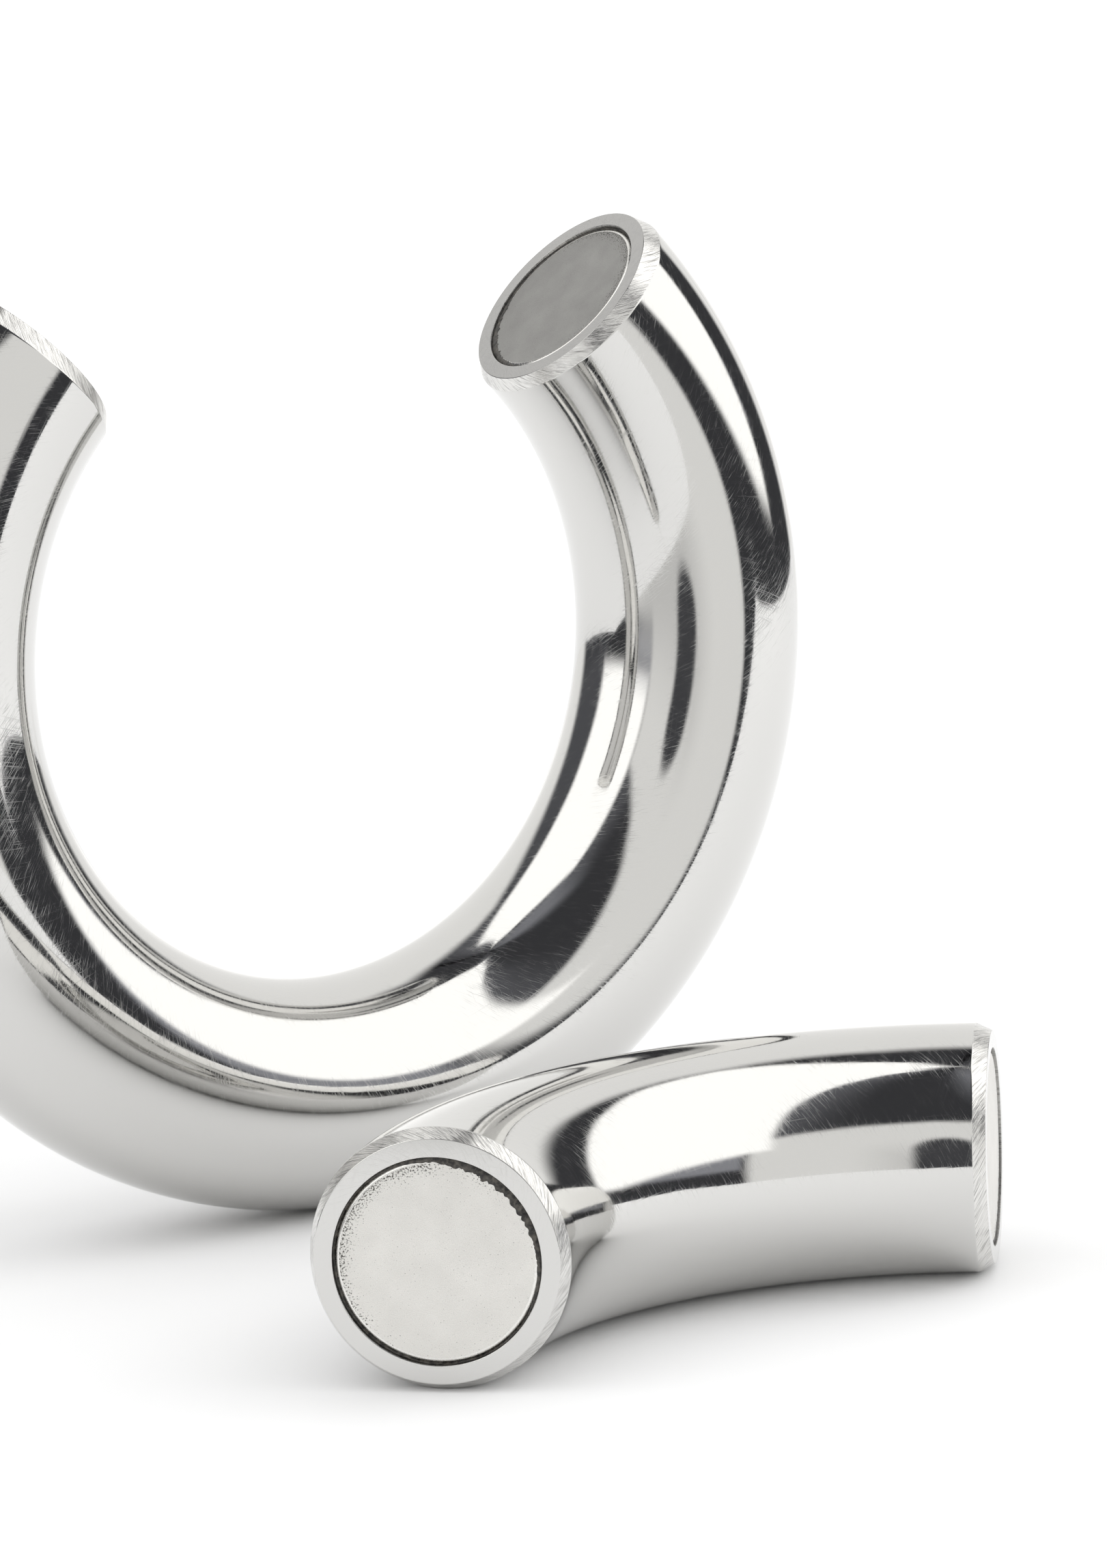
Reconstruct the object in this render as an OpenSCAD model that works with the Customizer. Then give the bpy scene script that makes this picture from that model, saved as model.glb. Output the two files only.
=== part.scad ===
// Magnetic split ring: a polished round-bar ring cut into a large and a small arc.
// Every cut end holds a disc magnet glued into a blind pocket, so the arcs close into a full ring.
// Units are millimetres, +Z is up. The origin is on the table, under the middle of the resting parts.

/* [Ring] */

// Diameter of the round bar the ring is bent from
bar_d = 15; // [10:0.5:20]

// Radius of the bar's centreline
ring_r = 29; // [25:0.5:40]

// Angle taken out of the large arc, which the small arc fills
split_angle = 89; // [60:1:110]

/* [End details] */

// How far each end's chamfer runs along the bar
chamfer_len = 1; // [0.4:0.1:2]

// How far each end's chamfer cuts in from the bar's surface
chamfer_in = 0.5; // [0.2:0.05:1]

// Diameter of the blind magnet pockets
pocket_d = 11.9; // [8:0.1:12.5]

// Depth of the blind magnet pockets
pocket_depth = 5.4; // [3:0.1:8]

// Gap left at each joint when the ring is closed
closing_gap = 0.03; // [0.01:0.01:0.2]

/* [Magnets] */

// Diameter of the disc magnets
magnet_d = 11.6; // [7:0.1:12.2]

// Thickness of the disc magnets
magnet_t = 5; // [2:0.5:7]

// How far each magnet's face sits below the end face
magnet_recess = 0.15; // [0.05:0.05:0.5]

// Radius of the magnets' rounded plated edges
magnet_edge_r = 0.35; // [0.1:0.05:0.6]

// How far the adhesive line sits below the end face
glue_recess = 0.3; // [0.2:0.05:0.8]

/* [Resting arrangement] */

// Distance from the large arc's plane to the small arc's centre of bend
spacing = 64.3; // [55:0.1:90]

// Roll of the large arc's gap to the left, and turn of the small arc on the table
turn = 1.5; // [0:0.5:3]

/* [Smoothness] */

// Facets around the round bar
bar_fn = 96; // [32:8:128]

// Facets around a full turn of the ring
ring_fn = 200; // [64:8:256]

/* [Hidden] */

bar_r = bar_d / 2;
half_split = split_angle / 2;
large_sweep = 360 - split_angle;
small_sweep = split_angle - 2 * closing_gap / ring_r * 180 / PI;
glue_bed_t = pocket_depth - magnet_recess - magnet_t;

// The resting parts' depth runs from the small arc's front edge to the back of the large arc.
front_y = spacing - (ring_r - bar_r + chamfer_in) * cos(small_sweep / 2 + turn);
ring_y = (front_y - bar_r) / 2;

steel = [0.78, 0.79, 0.80];
nickel = [0.55, 0.54, 0.51];
resin = [0.10, 0.09, 0.08];

// Which sub-part to show

// ---- Placing ----

// The large arc stands on its rim with its opening at the top.
module stand_large() {
    translate([0, ring_y, ring_r + bar_r]) rotate([90, 0, 0]) rotate([0, 0, 90 + turn]) children();
}

// The small arc lies flat on the table in front of it.
module lay_small() {
    translate([0, ring_y - spacing, bar_r]) rotate([0, 0, 90 + turn]) children();
}

// Puts children, whose +Z leaves the bar, on the end of an arc at the given angle.
// side is 1 for an end that faces the way the angle grows, and -1 for the other.
module at_end(angle, side) {
    rotate([0, 0, angle]) translate([ring_r, 0, 0]) rotate([-90 * side, 0, 0]) children();
}

// ---- Shapes, with their outer end at Z = 0 ----

// The cone's side passes through the bar's surface at -chamfer_len and runs on past both ends.
module end_chamfer() {
    slope = chamfer_in / chamfer_len;
    difference() {
        translate([0, 0, -2 * chamfer_len])
            cylinder(h = 2 * chamfer_len + 1, r = bar_r + 2, $fn = bar_fn);
        translate([0, 0, -3 * chamfer_len])
            cylinder(h = 3 * chamfer_len + 2,
                     r1 = bar_r + 2 * chamfer_in,
                     r2 = bar_r - chamfer_in - 2 * slope, $fn = bar_fn);
    }
}

module magnet_pocket() {
    translate([0, 0, -pocket_depth])
        cylinder(h = pocket_depth + 1, d = pocket_d, $fn = bar_fn);
}

// Machines one end of an arc: the chamfer and the blind pocket.
module end_cuts(angle, side) {
    at_end(angle, side) {
        end_chamfer();
        magnet_pocket();
    }
}

module bent_bar(start, sweep) {
    rotate([0, 0, start])
        rotate_extrude(angle = sweep, $fn = ring_fn)
            translate([ring_r, 0]) circle(r = bar_r, $fn = bar_fn);
}

// Disc magnet with rounded plated edges.
module disc_magnet() {
    r = magnet_d / 2;
    e = magnet_edge_r;
    top = [for (a = [90:-30:0]) [r - e + e * cos(a), magnet_t - e + e * sin(a)]];
    low = [for (a = [0:-30:-90]) [r - e + e * cos(a), e + e * sin(a)]];
    translate([0, 0, -magnet_recess - magnet_t])
        rotate_extrude($fn = bar_fn) polygon(concat([[0, magnet_t]], top, low, [[0, 0]]));
}

// Cured adhesive: a bed under the magnet and the thin sleeve seen as a dark line around it.
module glue_cup() {
    translate([0, 0, -pocket_depth])
        difference() {
            cylinder(h = pocket_depth - glue_recess, d = pocket_d, $fn = bar_fn);
            translate([0, 0, glue_bed_t])
                cylinder(h = pocket_depth, d = magnet_d, $fn = bar_fn);
        }
}

// ---- Large arc and what is fixed in it ----

module large_arc() {
    color(steel) stand_large()
        difference() {
            bent_bar(half_split, large_sweep);
            end_cuts(half_split, -1);
            end_cuts(-half_split, 1);
        }
}

module large_arc_left_glue() {
    color(resin) stand_large() at_end(half_split, -1) glue_cup();
}

module large_arc_left_magnet() {
    color(nickel) stand_large() at_end(half_split, -1) disc_magnet();
}

module large_arc_right_glue() {
    color(resin) stand_large() at_end(-half_split, 1) glue_cup();
}

module large_arc_right_magnet() {
    color(nickel) stand_large() at_end(-half_split, 1) disc_magnet();
}

// ---- Small arc and what is fixed in it ----

module small_arc() {
    color(steel) lay_small()
        difference() {
            bent_bar(-small_sweep / 2, small_sweep);
            end_cuts(small_sweep / 2, 1);
            end_cuts(-small_sweep / 2, -1);
        }
}

module small_arc_near_glue() {
    color(resin) lay_small() at_end(small_sweep / 2, 1) glue_cup();
}

module small_arc_near_magnet() {
    color(nickel) lay_small() at_end(small_sweep / 2, 1) disc_magnet();
}

module small_arc_far_glue() {
    color(resin) lay_small() at_end(-small_sweep / 2, -1) glue_cup();
}

module small_arc_far_magnet() {
    color(nickel) lay_small() at_end(-small_sweep / 2, -1) disc_magnet();
}

large_arc();
large_arc_left_glue();
large_arc_left_magnet();
large_arc_right_glue();
large_arc_right_magnet();
small_arc();
small_arc_near_glue();
small_arc_near_magnet();
small_arc_far_glue();
small_arc_far_magnet();
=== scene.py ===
"""Magnetic split ring: two polished steel arcs with glued disc magnets, in a softbox studio."""
import math

import bpy
import numpy as np
from mathutils import Matrix, Vector, noise


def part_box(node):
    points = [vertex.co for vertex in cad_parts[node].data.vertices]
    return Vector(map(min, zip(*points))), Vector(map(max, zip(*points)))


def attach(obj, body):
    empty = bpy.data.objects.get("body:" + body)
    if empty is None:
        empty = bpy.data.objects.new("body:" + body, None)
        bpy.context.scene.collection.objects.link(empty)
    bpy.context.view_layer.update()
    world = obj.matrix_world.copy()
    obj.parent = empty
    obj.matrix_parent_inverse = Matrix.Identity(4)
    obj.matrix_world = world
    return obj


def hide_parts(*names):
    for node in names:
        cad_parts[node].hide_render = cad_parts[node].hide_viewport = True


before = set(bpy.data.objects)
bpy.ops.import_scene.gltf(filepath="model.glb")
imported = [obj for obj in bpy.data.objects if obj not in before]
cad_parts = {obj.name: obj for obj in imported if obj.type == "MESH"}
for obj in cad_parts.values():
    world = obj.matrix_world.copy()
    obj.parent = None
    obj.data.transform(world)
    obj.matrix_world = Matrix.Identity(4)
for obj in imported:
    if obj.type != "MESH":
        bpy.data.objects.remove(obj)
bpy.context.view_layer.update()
MM = 0.001
TO_MM = 1000              # texture space is in millimetres

# ---------------------------------------------------------------- sizes, as in the CAD model
BAR_R = 7.5 * MM          # radius of the round bar
CHAMFER_LEN = 1.0 * MM    # along the bar
CHAMFER_IN = 0.5 * MM     # in from the bar's surface
POCKET_R = 5.95 * MM
POCKET_DEPTH = 5.4 * MM
MAGNET_R = 5.8 * MM
MAGNET_T = 5.0 * MM
MAGNET_RECESS = 0.15 * MM    # how far a magnet lies below its end face
CLOSING_GAP = 0.03 * MM      # left at each joint when the ring is closed
HALF_GAP = math.radians(44.5)    # half of the angle that is cut out of the ring
TURN = math.radians(1.5)     # how far both arcs are turned from straight

large_lo, large_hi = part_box("large_arc")
small_lo, small_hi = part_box("small_arc")
RING_R = (large_hi.x - large_lo.x) / 2 - BAR_R
RING_Y = (large_lo.y + large_hi.y) / 2
HALF_SMALL = HALF_GAP - CLOSING_GAP / RING_R
small_mid = Vector((0, small_hi.y - RING_R - BAR_R, BAR_R))
large_mid = Vector((0, RING_Y, RING_R + BAR_R))

# ---------------------------------------------------------------- finer details, in the looks only
EDGE_BAND = 0.35 * MM        # end of the bend that takes in the chamfer's rounded outer edge
OUTER_ROUND = 0.30 * MM      # rounding where the bend meets the chamfer
FACE_ROUND = 0.07 * MM       # where the chamfer meets the end face
MOUTH_ROUND = 0.06 * MM      # where the end face meets the pocket
MOUTH_DEPTH = 1.2 * MM       # how far down the pocket the rounded outline goes
MAGNET_EDGE = 0.24 * MM      # rounding of a magnet's face edge
MAGNET_BEVEL = 0.2 * MM      # bevel of its back edge
BEND, CHAMFER, FACE, POCKET = range(4)    # order of the finishes in a bar's material slots


class Arc:
    """A bent bar: its centre of bend, the direction of its middle, its bend axis and half sweep."""

    def __init__(self, centre, middle, axis, half):
        self.c, self.m, self.n, self.half = centre, middle.normalized(), axis.normalized(), half
        self.k = self.n.cross(self.m)

    def radial(self, a):
        return self.m * math.cos(a) + self.k * math.sin(a)

    def tangent(self, a):
        return self.k * math.cos(a) - self.m * math.sin(a)

    def at(self, a):
        return self.c + self.radial(a) * RING_R

    def end(self, side):
        """Centre of an end face, its outward normal and its radial direction."""
        a = self.half * side
        return self.at(a), self.tangent(a) * side, self.radial(a)


LARGE = Arc(large_mid, Vector((math.sin(TURN), 0, -math.cos(TURN))), Vector((0, -1, 0)),
            math.pi - HALF_GAP)
SMALL = Arc(small_mid, Vector((-math.sin(TURN), math.cos(TURN), 0)), Vector((0, 0, 1)), HALF_SMALL)


# ---------------------------------------------------------------- mesh helpers
def new_mesh(name, verts, faces, normals=None, uvs=None, mats=(), face_mat=None, smooth=True):
    me = bpy.data.meshes.new(name)
    me.from_pydata([tuple(v) for v in verts], [], faces)
    for m in mats:
        me.materials.append(m)
    if face_mat is not None:
        me.polygons.foreach_set("material_index", face_mat)
    if uvs is not None:
        layer = me.uv_layers.new(name="UVMap")
        loops = np.zeros(len(me.loops), np.int32)
        me.loops.foreach_get("vertex_index", loops)
        layer.data.foreach_set("uv", np.asarray(uvs, np.float32)[loops].ravel())
    me.polygons.foreach_set("use_smooth", [smooth] * len(me.polygons))
    me.validate()
    if normals is not None:
        me.normals_split_custom_set_from_vertices([tuple(n) for n in normals])
    me.update()
    ob = bpy.data.objects.new(name, me)
    bpy.context.scene.collection.objects.link(ob)
    return ob


def unit(v):
    return v / np.linalg.norm(v)


def right_of(a, b):
    """The unit normal on the right-hand side of the way from a to b."""
    d = unit(b - a)
    return np.array([d[1], -d[0]])


def fillet_profile(points, radii, steps=4):
    """Rounds the corners of an open polyline of (s, rho); returns points with their 2D normals."""
    pts = [np.array(p, float) for p in points]
    most = 0.45           # share of a side that one corner may use
    out = [(pts[0], right_of(pts[0], pts[1]))]
    for a, b, c, r in zip(pts, pts[1:], pts[2:], radii[1:]):
        u, v = unit(a - b), unit(c - b)
        n0, n1 = right_of(a, b), right_of(b, c)
        half = math.acos(max(-1, min(1, float(u @ v)))) / 2
        t = r / math.tan(half)
        t = min(t, most * np.linalg.norm(a - b), most * np.linalg.norm(c - b))
        p0, p1 = b + u * t, b + v * t
        for k in range(steps + 1):
            w = k / steps
            q = (1 - w) ** 2 * p0 + 2 * w * (1 - w) * b + w ** 2 * p1
            out.append((q, unit(n0 * (1 - w) + n1 * w)))
    out.append((pts[-1], right_of(pts[-2], pts[-1])))
    return out


def finish_at(s, rho):
    """The finish of the band that ends s below the end face, at the radius rho."""
    if rho > BAR_R - 0.03 * MM:
        return BEND
    if rho > BAR_R - CHAMFER_IN - 0.005 * MM:
        return CHAMFER
    return FACE if s < 0.03 * MM else POCKET


def arc_object(name, arc, along, around, mats):
    """A closed bent bar with rounded chamfers, flat end faces and blind pockets."""
    verts, norms, uvs, faces, fmat = [], [], [], [], []

    def ring(centre, rad, out, rho, normal, u):
        """Points round the bar's axis; normal is its part into the bar and its part away from it."""
        base = len(verts)
        into, away = normal
        for j in range(around + 1):
            p = 2 * math.pi * j / around
            d = rad * math.cos(p) + arc.n * math.sin(p)
            verts.append(centre + d * rho)
            norms.append((d * away - out * into).normalized())
            uvs.append((u * TO_MM, p * BAR_R * TO_MM))
        return base

    def bend_ring(angle, side=0, rho=BAR_R, normal=(0, 1)):
        """A ring on the bent centreline."""
        out = arc.tangent(angle) * side
        return ring(arc.at(angle), arc.radial(angle), out, rho, normal, angle * RING_R)

    def end_ring(side, s, rho, normal):
        """A ring on the pocket's straight axis, s below the end face."""
        c, out, rad = arc.end(side)
        return ring(c - out * s, rad, out, rho, normal, side * (arc.half * RING_R + rho))

    def bridge(a, b, mat, flip):
        for j in range(around):
            q = (a + j, b + j, b + j + 1, a + j + 1)
            faces.append(q if not flip else q[::-1])
            fmat.append(mat)

    # the bent surface between the two chamfers
    edge = CHAMFER_LEN + EDGE_BAND
    a0, a1 = -arc.half + edge / RING_R, arc.half - edge / RING_R
    rings = [bend_ring(a0 + (a1 - a0) * i / along) for i in range(along + 1)]
    for i in range(along):
        bridge(rings[i], rings[i + 1], BEND, False)

    # each end, from the bend over the chamfer and the face into the pocket
    profile = fillet_profile(
        [(edge, BAR_R), (CHAMFER_LEN, BAR_R), (0, BAR_R - CHAMFER_IN), (0, POCKET_R),
         (MOUTH_DEPTH, POCKET_R)],
        [0, OUTER_ROUND, FACE_ROUND, MOUTH_ROUND, 0])
    for side in (-1, 1):
        prev = rings[0] if side < 0 else rings[-1]
        for (s, rho), normal in profile[1:]:
            if s > 0 and rho > BAR_R - CHAMFER_IN + 1e-9:
                cur = bend_ring(side * (arc.half - s / RING_R), side, rho, normal)
            else:
                cur = end_ring(side, s, rho, normal)
            bridge(prev, cur, finish_at(s, rho), side < 0)
            prev = cur
        deep = end_ring(side, POCKET_DEPTH, POCKET_R, (0, -1))
        bridge(prev, deep, POCKET, side < 0)
        c, out, _ = arc.end(side)
        tip = len(verts)
        verts.append(c - out * POCKET_DEPTH)
        norms.append(out)
        uvs.append((0, 0))
        for j in range(around):
            t = (deep + j, tip, deep + j + 1)
            faces.append(t if side > 0 else t[::-1])
            fmat.append(POCKET)
    return new_mesh(name, verts, faces, norms, uvs, mats, fmat)


def disc_frame(arc, side):
    """Centre of an end face, its outward normal and two directions across it."""
    c, out, rad = arc.end(side)
    return c, out, rad, out.cross(rad)


def magnet_object(name, arc, side, mats):
    """Disc magnet with a rounded plated edge."""
    c, out, u, v = disc_frame(arc, side)
    n, flat, bend = 160, 12, 7       # points round, rings across the face, rings round the edge
    top, r, e = -MAGNET_RECESS, MAGNET_R, MAGNET_EDGE
    # each ring: its radius, its height, and its normal's parts away from the axis and along it
    rows = [((r - e) * k / flat, top, 0.0, 1.0) for k in range(1, flat + 1)]
    for k in range(1, bend + 1):
        a = math.pi / 2 * k / bend
        rows.append((r - e + e * math.sin(a), top - e + e * math.cos(a), math.sin(a), math.cos(a)))
    rows.append((r, top - MAGNET_T + MAGNET_BEVEL, 1.0, 0.0))
    rows.append((r - MAGNET_BEVEL, top - MAGNET_T, 0.7, -0.7))
    verts, norms, uvs, faces, fmat = [c + out * top], [out], [(0, 0)], [], []
    for rho, z, nr, nz in rows:
        for j in range(n):
            p = 2 * math.pi * j / n
            d = u * math.cos(p) + v * math.sin(p)
            verts.append(c + d * rho + out * z)
            norms.append((d * nr + out * nz).normalized())
            uvs.append((rho * math.cos(p) * TO_MM, rho * math.sin(p) * TO_MM))
    for j in range(n):
        faces.append((0, 1 + j, 1 + (j + 1) % n))
        fmat.append(0)
    for i in range(len(rows) - 1):
        a, b = 1 + i * n, 1 + (i + 1) * n
        for j in range(n):
            k = (j + 1) % n
            faces.append((a + j, b + j, b + k, a + k))
            fmat.append(1 if flat - 1 <= i < flat + bend else 0)
    back = len(verts)
    verts.append(c + out * (top - MAGNET_T))
    norms.append(-out)
    uvs.append((0, 0))
    last = 1 + (len(rows) - 1) * n
    for j in range(n):
        faces.append((last + j, back, last + (j + 1) % n))
        fmat.append(0)
    return new_mesh(name, verts, faces, norms, uvs, mats, fmat)


def glue_object(name, arc, side, mat, seed, heavy):
    """The cured adhesive: an uneven bead round the magnet, heavier towards one side, on its bed."""
    c, out, u, v = disc_frame(arc, side)
    n, across = 480, 8               # points round, rings across the bead
    verts, faces = [], []

    def ripple(p, k, amp):
        """Smooth unevenness at the angle p, finer for a larger k, up to about amp."""
        return amp * noise.noise(Vector((math.cos(p) * k + 17.3 * seed, math.sin(p) * k, 3.1 * seed)))

    def place(p, rho, z):
        verts.append(c + (u * math.cos(p) + v * math.sin(p)) * rho + out * z)

    def bead(p):
        """The bead's inner radius, and its height at the pocket's wall and at the magnet."""
        thick = max(0.0, math.cos(p - heavy)) ** 1.5
        creep = (0.05 - 0.30 * thick) * MM
        crumbs = abs(ripple(p, 16, 0.30 * MM)) * (0.15 + thick)
        inner = MAGNET_R + creep - crumbs + ripple(p, 5, 0.07 * MM)
        uneven = ripple(p, 3, 0.06 * MM) + ripple(p, 24, 0.06 * MM)
        at_wall = -0.17 * MM + uneven - 0.10 * MM * (1 - thick)
        at_magnet = -MAGNET_RECESS + 0.015 * MM * thick - 0.14 * MM * (1 - thick) ** 2
        return inner, at_wall, at_magnet

    wall = POCKET_R - 0.002 * MM     # just clear of the pocket's wall
    highest = -0.07 * MM
    for i in range(across):
        w = i / (across - 1)
        dome = math.sin(math.pi * w) * 0.04 * MM
        for j in range(n):
            p = 2 * math.pi * j / n
            inner, at_wall, at_magnet = bead(p)
            z = at_wall * (1 - w) + at_magnet * w + dome
            place(p, wall + (inner - POCKET_R) * w, min(z, highest))

    # down beside the magnet, under it, and back along the pocket's floor
    bed, under, open_r = -POCKET_DEPTH + 0.01 * MM, -MAGNET_RECESS - MAGNET_T, 0.4 * MM
    below = [(MAGNET_R - 0.3 * MM, -0.6 * MM), (MAGNET_R, -0.9 * MM), (MAGNET_R, under),
             (open_r, under), (open_r, bed), (POCKET_R - 0.01 * MM, bed)]
    for rho, z in below:
        for j in range(n):
            place(2 * math.pi * j / n, rho, z)
    total = across + len(below)
    for i in range(total):
        k = (i + 1) % total
        for j in range(n):
            m = (j + 1) % n
            faces.append((i * n + m, k * n + m, k * n + j, i * n + j))
    return new_mesh(name, verts, faces, mats=[mat])


# ---------------------------------------------------------------- materials
def blank(name):
    """A material with nothing in it but its output node."""
    m = bpy.data.materials.new(name)
    m.use_nodes = True
    nt = m.node_tree
    nt.nodes.clear()
    return m, nt, nt.nodes.new("ShaderNodeOutputMaterial")


def surface(name, metallic=0.0):
    m, nt, out = blank(name)
    bsdf = nt.nodes.new("ShaderNodeBsdfPrincipled")
    bsdf.inputs["Metallic"].default_value = metallic
    nt.links.new(bsdf.outputs[0], out.inputs[0])
    return m, nt, bsdf


def add(nt, kind, **values):
    """A node with some of its sockets or settings filled in."""
    nd = nt.nodes.new(kind)
    for k, v in values.items():
        if k in nd.inputs:
            nd.inputs[k].default_value = v
        else:
            setattr(nd, k, v)
    return nd


def texture(nt, kind, space, **values):
    """A texture node over a texture space."""
    nd = add(nt, kind, **values)
    nt.links.new(space, nd.inputs["Vector"])
    return nd


def noise_of(nt, space, **values):
    return texture(nt, "ShaderNodeTexNoise", space, **values).outputs["Fac"]


def calc(nt, operation, *terms):
    """A Math node, where each term is a number or a socket."""
    nd = add(nt, "ShaderNodeMath", operation=operation)
    for socket, term in zip(nd.inputs, terms):
        if isinstance(term, float):
            socket.default_value = term
        else:
            nt.links.new(term, socket)
    return nd.outputs[0]


def ramp(nt, source, lo, hi, out_lo, out_hi):
    """Maps lo to hi onto out_lo to out_hi, and holds there."""
    r = nt.nodes.new("ShaderNodeMapRange")
    r.inputs["From Min"].default_value = lo
    r.inputs["From Max"].default_value = hi
    r.inputs["To Min"].default_value = out_lo
    r.inputs["To Max"].default_value = out_hi
    nt.links.new(source, r.inputs["Value"])
    return r.outputs[0]


def colours(nt, source, dark_at, dark, light_at, light):
    """A colour that goes from dark to light as the source goes from dark_at to light_at."""
    col = add(nt, "ShaderNodeValToRGB")
    lo, hi = col.color_ramp.elements
    lo.position, lo.color = dark_at, (*dark, 1)
    hi.position, hi.color = light_at, (*light, 1)
    nt.links.new(source, col.inputs["Fac"])
    return col.outputs[0]


def relief(nt, bsdf, height, strength, depth):
    bump = add(nt, "ShaderNodeBump", Strength=strength, Distance=depth)
    nt.links.new(height, bump.inputs["Height"])
    nt.links.new(bump.outputs[0], bsdf.inputs["Normal"])


def streaks(nt, source, angle, length, width):
    """Texture space turned by an angle and stretched, so that a noise gives long thin marks."""
    mp = add(nt, "ShaderNodeMapping", vector_type="TEXTURE")
    mp.inputs["Rotation"].default_value = (0, 0, angle)
    mp.inputs["Scale"].default_value = (length, width, 1)
    nt.links.new(source, mp.inputs["Vector"])
    return mp.outputs[0]


# Hairlines in the polish: slant from the bar's own direction, length and width in mm, and strength
HAIRLINES = ((-1.0, 1.1, 0.05, 0.9), (-0.8, 1.8, 0.06, 0.7), (1.2, 3.0, 0.06, 0.55),
             (0.05, 5.0, 0.06, 0.5))


def mirror_steel(name, tint, rough, scratch):
    """Mirror-polished stainless steel: faint slanting hairlines and a light haze."""
    m, nt, b = surface(name, 1.0)
    b.inputs["Base Color"].default_value = (*tint, 1)
    uv = add(nt, "ShaderNodeUVMap", uv_map="UVMap").outputs[0]
    hair = None
    for angle, length, width, weight in HAIRLINES:
        marks = noise_of(nt, streaks(nt, uv, angle, length, width), Scale=1.0, Detail=0.0)
        line = ramp(nt, marks, 0.60, 0.80, 0.0, weight)
        hair = line if hair is None else calc(nt, "MAXIMUM", hair, line)
    cloud = noise_of(nt, uv, Scale=0.12, Detail=4.0, Roughness=0.6)
    worn = calc(nt, "MULTIPLY", hair, ramp(nt, cloud, 0.35, 0.65, 0.5, 1.0))
    nt.links.new(ramp(nt, worn, 0, 1, rough, rough + scratch), b.inputs["Roughness"])
    relief(nt, b, worn, 0.02, 0.02 * MM)
    return m


def brushed_steel(name, tone, rough):
    """Linished chamfer: long slanting grinding marks over bright metal."""
    m, nt, b = surface(name, 1.0)
    uv = add(nt, "ShaderNodeUVMap", uv_map="UVMap").outputs[0]
    fine = noise_of(nt, streaks(nt, uv, 1.0, 2.0, 0.045), Scale=1.0, Detail=2.0, Roughness=0.6)
    coarse = noise_of(nt, streaks(nt, uv, 0.9, 1.6, 0.14), Scale=1.0, Detail=2.0, Roughness=0.5)
    both = calc(nt, "MULTIPLY_ADD", coarse, 0.6, fine)
    groove = (tone * 0.30, tone * 0.295, tone * 0.285)
    bright = (tone, tone * 0.99, tone * 0.965)
    middle = calc(nt, "MULTIPLY", both, 0.625)      # back to the range of one noise
    nt.links.new(colours(nt, middle, 0.34, groove, 0.50, bright), b.inputs["Base Color"])
    nt.links.new(ramp(nt, fine, 0.35, 0.65, rough + 0.12, rough), b.inputs["Roughness"])
    relief(nt, b, both, 0.5, 0.04 * MM)
    return m


def magnet_plating(name, low, high, rough):
    """Nickel plating, sanded: fine sparkling grain, faint stains, small pits, and dark specks that
    crowd towards the rim and one side.
    """
    m, nt, b = surface(name, 1.0)
    uv = add(nt, "ShaderNodeUVMap", uv_map="UVMap").outputs[0]
    grain = noise_of(nt, uv, Scale=16.0, Detail=4.0, Roughness=0.75)
    patch = noise_of(nt, uv, Scale=0.45, Detail=3.0, Roughness=0.5)
    crumbs = noise_of(nt, uv, Scale=9.0, Detail=3.0, Roughness=0.6)
    where = noise_of(nt, uv, Scale=0.22, Detail=1.0)
    pits = texture(nt, "ShaderNodeTexVoronoi", uv, Scale=2.2).outputs["Distance"]

    # dark specks, more of them near the rim and towards one side
    rho = add(nt, "ShaderNodeVectorMath", operation="LENGTH")
    nt.links.new(uv, rho.inputs[0])
    lean = add(nt, "ShaderNodeVectorMath", operation="DOT_PRODUCT")
    nt.links.new(uv, lean.inputs[0])
    lean.inputs[1].default_value = (0.05, -0.05, 0)
    side = ramp(nt, calc(nt, "ADD", lean.outputs["Value"], where), 0.45, 0.75, 0.1, 1.0)
    rim = calc(nt, "MULTIPLY", ramp(nt, rho.outputs["Value"], 4.5, 5.6, 0.0, 1.0), side)
    dark_specks = calc(nt, "MULTIPLY_ADD", rim, 0.20, crumbs)

    tone = calc(nt, "MULTIPLY_ADD", patch, 0.35, ramp(nt, grain, 0.3, 0.7, 0.15, 0.5))
    spot = calc(nt, "MULTIPLY", tone, ramp(nt, pits, 0.04, 0.09, 0.55, 1.0))
    speck_mix = add(nt, "ShaderNodeMix", data_type="RGBA")
    nt.links.new(ramp(nt, dark_specks, 0.66, 0.74, 0.0, 1.0), speck_mix.inputs["Factor"])
    clean, speck_colour = 6, 7                              # the colour sockets of a Mix node
    nt.links.new(colours(nt, spot, 0.1, low, 0.75, high), speck_mix.inputs[clean])
    speck_mix.inputs[speck_colour].default_value = (0.10, 0.095, 0.085, 1)
    nt.links.new(speck_mix.outputs[2], b.inputs["Base Color"])
    nt.links.new(ramp(nt, grain, 0.3, 0.7, rough - 0.08, rough + 0.08), b.inputs["Roughness"])
    relief(nt, b, grain, 0.6, 0.03 * MM)
    return m


def plated_edge(name):
    """The bright rounded edge of a magnet."""
    m, nt, b = surface(name, 1.0)
    b.inputs["Base Color"].default_value = (0.80, 0.79, 0.76, 1)
    uv = add(nt, "ShaderNodeUVMap", uv_map="UVMap").outputs[0]
    scuffs = noise_of(nt, uv, Scale=6.0, Detail=4.0)
    nt.links.new(ramp(nt, scuffs, 0.3, 0.7, 0.12, 0.35), b.inputs["Roughness"])
    return m


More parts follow.
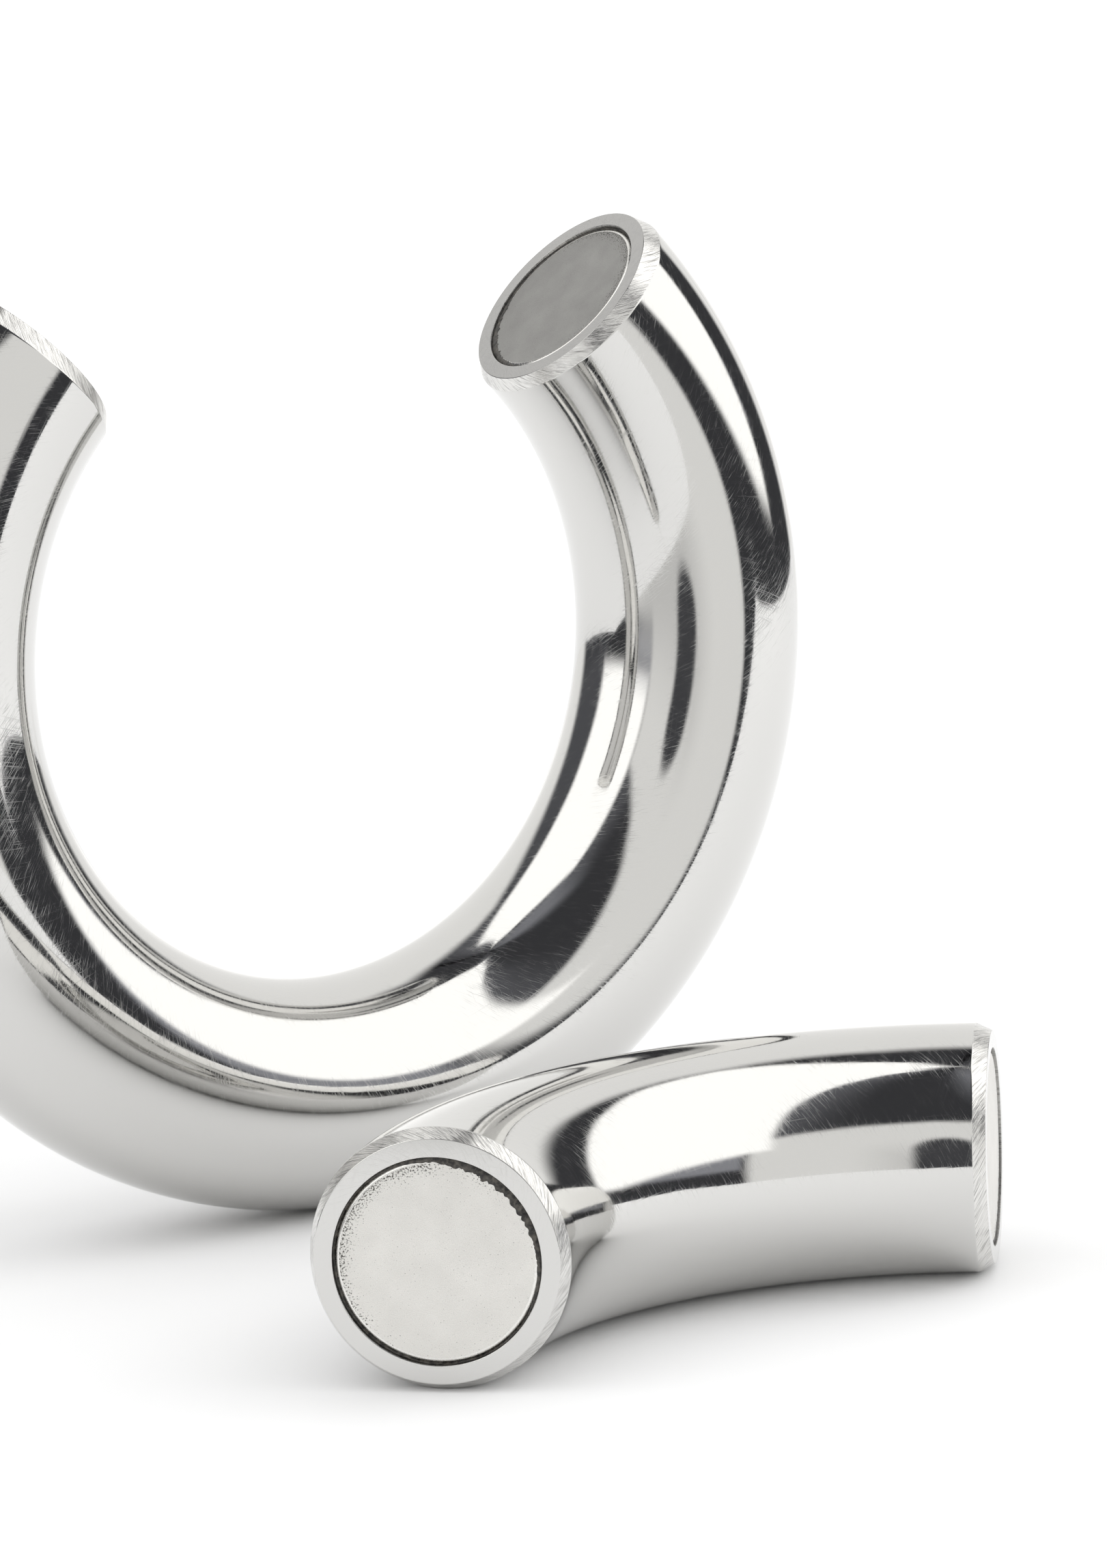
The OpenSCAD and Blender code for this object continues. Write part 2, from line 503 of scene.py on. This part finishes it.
def adhesive(name):
    """Dark cured resin, lumpy, with dust in it."""
    m, nt, b = surface(name)
    place = add(nt, "ShaderNodeTexCoord").outputs["Object"]
    lumps = noise_of(nt, place, Scale=2600.0, Detail=4.0, Roughness=0.7)
    colour = colours(nt, lumps, 0.42, (0.008, 0.007, 0.006), 0.68, (0.10, 0.09, 0.075))
    nt.links.new(colour, b.inputs["Base Color"])
    nt.links.new(ramp(nt, lumps, 0.3, 0.7, 0.25, 0.6), b.inputs["Roughness"])
    relief(nt, b, lumps, 0.5, 0.05 * MM)
    return m


polish = mirror_steel("polished_steel", (0.66, 0.655, 0.64), 0.035, 0.26)
chamfer_mat = brushed_steel("brushed_chamfer", 0.76, 0.09)
face_mat = mirror_steel("lapped_end_face", (0.64, 0.635, 0.62), 0.09, 0.14)
# a darker, rougher copy of the lapped end face's steel, for the large arc's end faces; its darker tint
# is painted shade
face_painted_shade = mirror_steel("end_face_painted_shade", (0.47, 0.465, 0.455), 0.18, 0.16)
pocket_mat = brushed_steel("bored_pocket", 0.5, 0.3)
plate = magnet_plating("magnet_plating", (0.62, 0.61, 0.58), (0.90, 0.885, 0.85), 0.40)
# a darker copy of the plating for the large arc's right magnet: painted shade
plate_painted_shade = magnet_plating("magnet_plating_painted_shade", (0.20, 0.196, 0.188), (0.48, 0.475, 0.46), 0.5)
plate_edge = plated_edge("magnet_plated_edge")
resin = adhesive("adhesive_resin")

# ---------------------------------------------------------------- the object
# the number is how many bands the bend is made of; the large arc's end faces take the darker steel,
# which is painted shade
for arc, node, body, along, face in ((LARGE, "large_arc", "large_arc_body", 420, face_painted_shade),
                                     (SMALL, "small_arc", "small_arc_body", 150, face_mat)):
    ob = arc_object(node + "_bar", arc, along, 128, [polish, chamfer_mat, face, pocket_mat])
    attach(ob, body)
    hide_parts(node)

# the last number is the way round, in the disc's own plane, to the heavy side of the adhesive
for arc, side, stem, body, seed, heavy in (
        (LARGE, 1, "large_arc_right", "large_arc_body", 1, 2.2),
        (LARGE, -1, "large_arc_left", "large_arc_body", 2, 0.8),
        (SMALL, 1, "small_arc_near", "small_arc_body", 3, -2.3),
        (SMALL, -1, "small_arc_far", "small_arc_body", 4, -0.9)):
    # the large arc's right magnet takes the darker plating, which is painted shade
    disc = plate_painted_shade if stem == "large_arc_right" else plate
    ob = magnet_object(stem + "_disc", arc, side, [disc, plate_edge])
    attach(ob, body)
    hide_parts(stem + "_magnet")
    ob = glue_object(stem + "_bead", arc, side, resin, seed, heavy)
    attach(ob, body)
    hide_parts(stem + "_glue")

# ---------------------------------------------------------------- camera
scene = bpy.context.scene
cam_data = bpy.data.cameras.new("camera")
cam = bpy.data.objects.new("camera", cam_data)
scene.collection.objects.link(cam)
scene.camera = cam
CAMERA_AT = Vector((-167.32, -257.16, 74.85)) * MM
VIEW_YAW, VIEW_PITCH, VIEW_ROLL = map(math.radians, (-33.649, 8.411, -2.341))
cam.matrix_world = (Matrix.Translation(CAMERA_AT)
                    @ Matrix.Rotation(VIEW_YAW, 4, "Z")
                    @ Matrix.Rotation(math.pi / 2 - VIEW_PITCH, 4, "X")
                    @ Matrix.Rotation(VIEW_ROLL, 4, "Z"))
cam_data.lens = 116.757
cam_data.sensor_width = 36
cam_data.clip_start, cam_data.clip_end = 0.01, 20

# ---------------------------------------------------------------- studio
scene.view_settings.view_transform = "Standard"
scene.view_settings.look = "None"
scene.view_settings.exposure = 0
scene.view_settings.gamma = 1

to_camera = Vector((math.sin(VIEW_YAW), -math.cos(VIEW_YAW), 0))     # from the object to the camera
to_right = Vector((math.cos(VIEW_YAW), math.sin(VIEW_YAW), 0))       # the camera's right
STUDIO_MID = Vector((0, 0, 34 * MM))
TOP = 89.9                # just short of straight up, where a panel's grid would pinch


def sky_dir(az, el):
    """A direction by its angle round from the camera, positive to the camera's right, and height."""
    a, e = math.radians(az), math.radians(el)
    flat = to_camera * math.cos(a) + to_right * math.sin(a)
    return flat * math.cos(e) + Vector((0, 0, math.sin(e)))


def inside_soft(px, py, poly, feather):
    """1 inside a polygon, 0 outside, with a soft edge, for arrays of points."""
    best = np.full(px.shape, 1e9)
    odd = np.zeros(px.shape, bool)
    for (x0, y0), (x1, y1) in zip(poly, poly[1:] + poly[:1]):
        dx, dy = x1 - x0, y1 - y0
        t = np.clip(((px - x0) * dx + (py - y0) * dy) / (dx * dx + dy * dy), 0, 1)
        best = np.minimum(best, np.hypot(px - x0 - t * dx, py - y0 - t * dy))
        odd ^= ((y0 > py) != (y1 > py)) & (px < (x1 - x0) * (py - y0) / (y1 - y0 + 1e-12) + x0)
    d = np.where(odd, best, -best)
    w = np.clip(d / feather * 0.5 + 0.5, 0, 1)
    return w * w * (3 - 2 * w)


# Softboxes, cards and dark gaps of the studio: name, outline as angles (round from the camera,
# height), brightness, soft edge in degrees, distance in metres and, where it isn't 1, how much it
# covers. A nearer panel hides those behind it.
WHITE, GREY, DARK = 1.55, 1.02, 0.055
STUDIO = [
    ("ceiling_left", [(-40, 57), (-16, 60), (-10, 74), (-6, 89), (-60, 89), (-50, 70)], 0.28, 12, 2.98),
    ("ceiling_haze", [(-37, 28), (-22, 28), (-30, 60), (-37, 60)], 0.14, 14, 2.978),
    ("ceiling_right", [(50, 25), (75, 25), (85, 85), (52, 85), (46, 60)], 0.2, 20, 2.977),
    ("left_gap", [(-136, 0), (-92, 0), (-92, 50), (-140, 70)], 0.11, 6, 2.97),
    ("back_gap", [(190, 60), (225, 58), (240, 89), (190, 89)], 0.14, 10, 2.96),
    ("back_sheet", [(146, -25), (146, 45), (150, 56), (165, 63), (195, 62), (212, 60), (222, 54),
                    (226, 42), (226, 20), (228, 3), (232, -25)], GREY, 5, 2.94),
    ("back_glow", [(166, -9), (196, -9), (196, 3), (166, 3)], 1.35, 9, 2.92),
    ("left_softbox", [(-94, 4.5), (-97, 15), (-106, 31), (-117, 45), (-129, 57.5), (-139, 69),
                      (-152, 78), (-100, 89), (-70, 84), (-52, 72), (-38, 60), (-37.5, 30),
                      (-37.5, 7)], WHITE, 3, 2.90),
    ("card_side", [(-56, -5), (-54, 7), (-34, 8), (-34, -5)], 0.46, 9, 2.88),
    ("card_foot", [(-60, -30), (-60, -7), (-34, -7), (-34, -30)], 0.92, 4, 2.87),
    ("front_card", [(-37, -40), (-37, 30), (-20, 34), (2, 36), (25, 34), (46, 30), (58, 26),
                    (60, 14), (60, -40)], 0.96, 2.2, 2.86),
    ("card_shade", [(-50, -30), (-50, 0), (-10, 4), (14, 8), (14, -30)], 0.66, 16, 2.85, 0.8),
    ("skirt", [(62, 6), (119, 6), (119, 20), (62, 20)], 0.36, 1.6, 2.84),
    ("right_softbox", [(52, 14), (53.7, 35), (57, 56), (61, 70), (66, 80), (90, 86), (125, 80),
                       (134, 68), (141, 60), (143, 54), (139, 46), (131.5, 40), (127, 32),
                       (124, 25), (121, 14), (117.5, 4), (114, 1), (105, 1.5), (85, 6)],
     WHITE, 2.0, 0.300),
    ("right_sheet", [(154, -5), (150, 10), (146, 24), (143, 36), (146, 46), (150, 52), (156, 52),
                     (156, -5)], GREY, 4, 0.304),
]
LIT_TINT, DARK_TINT = (1.0, 0.995, 0.98), (0.90, 0.915, 1.0)    # lamps are warm, dark gaps bluish
LIT = 0.5                 # the brightness above which a panel counts as lit


def emitter(name, level, tint):
    """Glows evenly, and fades out by the mesh's own cover attribute."""
    m, nt, out = blank(name)
    glow = nt.nodes.new("ShaderNodeEmission")
    glow.inputs["Color"].default_value = (*tint, 1)
    glow.inputs["Strength"].default_value = level
    cover = add(nt, "ShaderNodeAttribute", attribute_name="cover")
    clear = nt.nodes.new("ShaderNodeBsdfTransparent")
    mix = nt.nodes.new("ShaderNodeMixShader")
    nt.links.new(cover.outputs["Fac"], mix.inputs[0])
    nt.links.new(clear.outputs[0], mix.inputs[1])
    nt.links.new(glow.outputs[0], mix.inputs[2])
    nt.links.new(mix.outputs[0], out.inputs[0])
    return m


def reflections_only(ob):
    """Seen in the polish, but not by the camera, and it lights nothing."""
    ob.visible_camera = False
    ob.visible_diffuse = False
    ob.visible_shadow = False
    ob.visible_transmission = False
    ob.visible_volume_scatter = False


def panel(name, outline, level, feather, radius, opacity=1.0, step=1.0):
    """A glowing patch of a sphere round the object, with the outline's shape and a soft edge."""
    az_all, el_all = zip(*outline)
    az0, az1 = min(az_all) - feather, max(az_all) + feather
    el0, el1 = min(el_all) - feather, min(max(el_all) + feather, TOP)
    na, ne = max(1, int((az1 - az0) / step)), max(1, int((el1 - el0) / step))
    az, el = np.meshgrid(np.linspace(az0, az1, na + 1), np.linspace(el0, el1, ne + 1))
    cover = inside_soft(az.ravel(), el.ravel(), outline, feather) * opacity
    verts = [STUDIO_MID + sky_dir(a, e) * radius for a, e in zip(az.ravel(), el.ravel())]
    row = na + 1
    faces = []
    for first in (j * row + i for j in range(ne) for i in range(na)):
        quad = (first, first + 1, first + row + 1, first + row)
        if max(cover[k] for k in quad) > 0:
            faces.append(quad)
    ob = new_mesh(name, verts, faces)
    at = ob.data.attributes.new("cover", "FLOAT", "POINT")
    at.data.foreach_set("value", cover.astype(np.float32))
    ob.data.materials.append(emitter(name + "_glow", level, LIT_TINT if level > LIT else DARK_TINT))
    reflections_only(ob)


panel("dark_room", [(-180, -60), (180, -60), (180, TOP), (-180, TOP)], DARK, 0.01, 3.0, 1.0, 4.0)
for entry in STUDIO:
    panel(*entry)

# the dark camera in front: an upright slot with round ends
LENS_AZ, LENS_LO, LENS_HI, LENS_HALF, LENS_STEPS = -1.6, -15, 20.5, 9.6, 16
lens = [(LENS_AZ + LENS_HALF * math.cos(start + math.pi * k / LENS_STEPS),
         mid + LENS_HALF * math.sin(start + math.pi * k / LENS_STEPS))
        for start, mid in ((0, LENS_HI - LENS_HALF), (math.pi, LENS_LO + LENS_HALF))
        for k in range(LENS_STEPS + 1)]
panel("lens", lens, 0.075, 2.2, 2.5)

# the table: white, wider to the left and the back than to the front and right; its corners are
# in mm to the camera's right and away from the camera
TABLE = [(-800, -92), (60, -92), (120, -70), (345, -62), (345, 560), (-800, 560)]
floor_mat, nt, floor_out = blank("table_white")
paper = add(nt, "ShaderNodeBsdfDiffuse", Color=(0.86, 0.86, 0.86, 1))
nt.links.new(paper.outputs[0], floor_out.inputs[0])
verts = [to_right * (x * MM) - to_camera * (y * MM) for x, y in TABLE]
table = new_mesh("table", verts, [tuple(range(len(verts)))], smooth=False)
table.data.materials.append(floor_mat)

# the world is plain white, and isn't seen in the polish
world = bpy.data.worlds.new("studio")
scene.world = world
world.use_nodes = True
bg = world.node_tree.nodes["Background"]
bg.inputs["Color"].default_value = (1, 1, 1, 1)
bg.inputs["Strength"].default_value = 1.18
world.cycles_visibility.glossy = False


def area(name, az, el, dist, size, power):
    """A square soft light that lights the table and isn't seen in the polish."""
    ld = bpy.data.lights.new(name, "AREA")
    ld.shape = "RECTANGLE"
    ld.size, ld.size_y = size, size
    ld.energy = power
    ob = bpy.data.objects.new(name, ld)
    scene.collection.objects.link(ob)
    p = STUDIO_MID + sky_dir(az, el) * dist
    ob.location = p
    ob.rotation_mode = "QUATERNION"
    ob.rotation_quaternion = (p - STUDIO_MID).to_track_quat("Z", "Y")
    ob.visible_camera = False
    ob.visible_glossy = False


# angle round, height, distance in m, side in m, power in W
area("key_left", -80, 40, 0.8, 0.6, 0.4)
area("key_right", 90, 40, 0.8, 0.6, 0.8)
area("side_right", 95, 30, 0.45, 0.2, 0.2)
